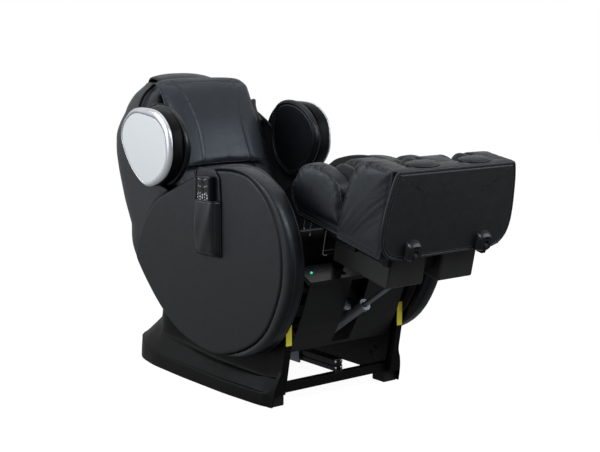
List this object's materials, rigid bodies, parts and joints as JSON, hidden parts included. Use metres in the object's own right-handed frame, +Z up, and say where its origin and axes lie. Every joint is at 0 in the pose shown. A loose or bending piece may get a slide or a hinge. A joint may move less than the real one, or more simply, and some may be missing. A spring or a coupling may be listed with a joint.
{
  "type": "massage chair",
  "caption": "Reclining massage chair with egg-shaped sides, leg rest that lifts and extends, rocking seat, shoulder wings, travelling massage rollers and a hand control.",
  "frame": {"origin": "on the floor, under the middle of the chair as stored, with its leg rest raised", "axes": "+Z up, the chair faces -Y, +X towards the sitter's left"},
  "size_m": [0.8, 1.7504, 1.174],
  "materials": {
    "black_leather": "soft black upholstery, low sheen",
    "black_mesh_fabric": "perforated dark fabric",
    "black_plastic": "moulded, matte",
    "black_painted_steel": "black powder coat",
    "silver_satin": "silver painted, satin face",
    "cast_alloy": "cast and machined",
    "anodised_black": "black anodised extrusion",
    "rubber": "black",
    "green_lens": "clear green"
  },
  "bodies": {
    "base": {"base_frame": "black_painted_steel", "side_plate_right": "black_painted_steel", "side_plate_left": "black_painted_steel", "base_skirt": "black_plastic", "foot_front_right": "rubber", "foot_front_left": "rubber", "foot_rear_right": "rubber", "foot_rear_left": "rubber", "tilt_track": "anodised_black", "tilt_motor": "cast_alloy", "inlet_panel": "black_plastic"},
    "seat": {"seat_frame": "black_painted_steel", "seat_cushion": "black_leather", "side_panel_right": "black_leather", "side_panel_left": "black_leather", "arm_hoop_right": "black_leather", "arm_hoop_left": "black_leather", "front_deck": "black_painted_steel", "kick_panel": "black_plastic", "indicator_lamp": "green_lens", "remote_pouch": "black_leather"},
    "backrest": {"back_shell": "black_leather", "back_frame": "black_painted_steel", "back_pad": "black_mesh_fabric", "head_pad": "black_leather", "top_flap": "black_leather", "shoulder_wing_right": "black_leather", "shoulder_wing_left": "black_leather", "wing_cap_right": "silver_satin", "wing_cap_left": "silver_satin"},
    "legrest": {"leg_frame": "black_painted_steel", "leg_box_right": "black_plastic", "leg_box_left": "black_plastic", "calf_section": "black_leather"},
    "footrest": {"foot_carrier": "black_painted_steel", "foot_section": "black_leather", "sole_plate": "black_leather"},
    "slider": {"tilt_slider": "cast_alloy"},
    "link": {"tilt_link": "black_painted_steel"},
    "switch": {"power_switch": "rubber"},
    "pillow": {"pillow": "black_leather"},
    "carriage": {"massage_carriage": "black_painted_steel"},
    "actuator": {"leg_actuator_barrel": "cast_alloy"},
    "plunger": {"leg_actuator_rod": "cast_alloy"},
    "handset": {"remote_body": "black_plastic"},
    "power_key": {"power_key": "rubber"},
    "pause_key": {"pause_key": "rubber"},
    "arc_roller_front_right": {"arc_roller_front_right": "rubber"},
    "arc_roller_rear_right": {"arc_roller_rear_right": "rubber"},
    "transport_wheel_right": {"transport_wheel_right": "rubber"},
    "rocker_right": {"rocker_arm_right": "cast_alloy"},
    "massage_roller_right": {"massage_roller_right": "rubber"},
    "caster_right": {"caster_wheel_right": "rubber"},
    "arc_roller_front_left": {"arc_roller_front_left": "rubber"},
    "arc_roller_rear_left": {"arc_roller_rear_left": "rubber"},
    "transport_wheel_left": {"transport_wheel_left": "rubber"},
    "rocker_left": {"rocker_arm_left": "cast_alloy"},
    "massage_roller_left": {"massage_roller_left": "rubber"},
    "caster_left": {"caster_wheel_left": "rubber"}
  },
  "joints": [
    {"name": "zero_gravity_tilt", "type": "hinge", "parent": "base", "child": "seat", "pos_m": [0, 0.0244, 0.6], "axis": [1, 0, 0], "range_deg": [0, 14]},
    {"name": "tilt_slider_travel", "type": "slide", "parent": "base", "child": "slider", "axis": [0, 1, 0], "range_m": [0, 0.13]},
    {"name": "tilt_link_swing", "type": "hinge", "parent": "slider", "child": "link", "pos_m": [0.05, 0.0394, 0.163], "axis": [1, 0, 0], "range_deg": [0, 22]},
    {"name": "arc_roller_front_right_spin", "type": "hinge", "parent": "base", "child": "arc_roller_front_right", "pos_m": [-0.2175, -0.13831, 0.25107], "axis": [1, 0, 0], "continuous": true},
    {"name": "arc_roller_rear_right_spin", "type": "hinge", "parent": "base", "child": "arc_roller_rear_right", "pos_m": [-0.2175, 0.18711, 0.25107], "axis": [1, 0, 0], "continuous": true},
    {"name": "transport_wheel_right_spin", "type": "hinge", "parent": "base", "child": "transport_wheel_right", "pos_m": [-0.2, 0.6194, 0.04], "axis": [1, 0, 0], "continuous": true},
    {"name": "arc_roller_front_left_spin", "type": "hinge", "parent": "base", "child": "arc_roller_front_left", "pos_m": [0.2175, -0.13831, 0.25107], "axis": [1, 0, 0], "continuous": true},
    {"name": "arc_roller_rear_left_spin", "type": "hinge", "parent": "base", "child": "arc_roller_rear_left", "pos_m": [0.2175, 0.18711, 0.25107], "axis": [1, 0, 0], "continuous": true},
    {"name": "transport_wheel_left_spin", "type": "hinge", "parent": "base", "child": "transport_wheel_left", "pos_m": [0.2, 0.6194, 0.04], "axis": [1, 0, 0], "continuous": true},
    {"name": "power_switch_rock", "type": "hinge", "parent": "base", "child": "switch", "pos_m": [0.118, 0.8019, 0.037], "axis": [1, 0, 0], "range_deg": [-9, 9]},
    {"name": "backrest_recline", "type": "hinge", "parent": "seat", "child": "backrest", "pos_m": [0, 0.2144, 0.36], "axis": [1, 0, 0], "range_deg": [-18, 0]},
    {"name": "pillow_flip", "type": "hinge", "parent": "backrest", "child": "pillow", "pos_m": [0, 0.6644, 1.13], "axis": [1, 0, 0], "range_deg": [-70, 0]},
    {"name": "massage_travel", "type": "slide", "parent": "backrest", "child": "carriage", "axis": [0, 0.4226, 0.9063], "range_m": [-0.15, 0.15]},
    {"name": "rocker_right_swing", "type": "hinge", "parent": "carriage", "child": "rocker_right", "pos_m": [-0.052, 0.5405, 0.73724], "axis": [1, 0, 0], "range_deg": [-6, 6]},
    {"name": "massage_roller_right_spin", "type": "hinge", "parent": "rocker_right", "child": "massage_roller_right", "pos_m": [-0.0725, 0.55885, 0.78606], "axis": [1, 0, 0], "continuous": true},
    {"name": "rocker_left_swing", "type": "hinge", "parent": "carriage", "child": "rocker_left", "pos_m": [0.052, 0.5405, 0.73724], "axis": [1, 0, 0], "range_deg": [-6, 6]},
    {"name": "massage_roller_left_spin", "type": "hinge", "parent": "rocker_left", "child": "massage_roller_left", "pos_m": [0.0725, 0.55885, 0.78606], "axis": [1, 0, 0], "continuous": true},
    {"name": "legrest_lift", "type": "hinge", "parent": "seat", "child": "legrest", "pos_m": [0, -0.3956, 0.58], "axis": [1, 0, 0], "range_deg": [0, 64]},
    {"name": "foot_extension", "type": "slide", "parent": "legrest", "child": "footrest", "axis": [0, 0.9781, 0.2079], "range_m": [-0.09, 0]},
    {"name": "caster_right_spin", "type": "hinge", "parent": "footrest", "child": "caster_right", "pos_m": [-0.163, -0.83079, 0.62654], "axis": [1, 0, 0], "continuous": true},
    {"name": "caster_left_spin", "type": "hinge", "parent": "footrest", "child": "caster_left", "pos_m": [0.163, -0.83079, 0.62654], "axis": [1, 0, 0], "continuous": true},
    {"name": "leg_actuator_swing", "type": "hinge", "parent": "seat", "child": "actuator", "pos_m": [0, -0.1056, 0.17], "axis": [1, 0, 0], "range_deg": [-2, 12]},
    {"name": "leg_actuator_stroke", "type": "slide", "parent": "actuator", "child": "plunger", "axis": [0, -0.8294, 0.5587], "range_m": [-0.27, 0]},
    {"name": "handset_lift", "type": "slide", "parent": "seat", "child": "handset", "axis": [0, 0, 1], "range_m": [0, 0.22]},
    {"name": "power_key_press", "type": "slide", "parent": "handset", "child": "power_key", "axis": [1, 0, 0], "range_m": [0, 0.0014], "stiffness_N_per_m": 700},
    {"name": "pause_key_press", "type": "slide", "parent": "handset", "child": "pause_key", "axis": [1, 0, 0], "range_m": [0, 0.0014], "stiffness_N_per_m": 700}
  ],
  "couplings": [
    {"joint": "tilt_slider_travel", "follows": "zero_gravity_tilt", "m_per_rad": 0.47099},
    {"joint": "tilt_link_swing", "follows": "zero_gravity_tilt", "ratio": 1.4389},
    {"joint": "leg_actuator_swing", "follows": "legrest_lift", "ratio": 0.16},
    {"joint": "leg_actuator_stroke", "follows": "legrest_lift", "m_per_rad": -0.22},
    {"joint": "rocker_left_swing", "follows": "rocker_right_swing", "ratio": -1},
    {"joint": "arc_roller_front_right_spin", "follows": "zero_gravity_tilt", "ratio": -18.235},
    {"joint": "arc_roller_rear_right_spin", "follows": "zero_gravity_tilt", "ratio": -18.235},
    {"joint": "arc_roller_front_left_spin", "follows": "zero_gravity_tilt", "ratio": -18.235},
    {"joint": "arc_roller_rear_left_spin", "follows": "zero_gravity_tilt", "ratio": -18.235}
  ]
}
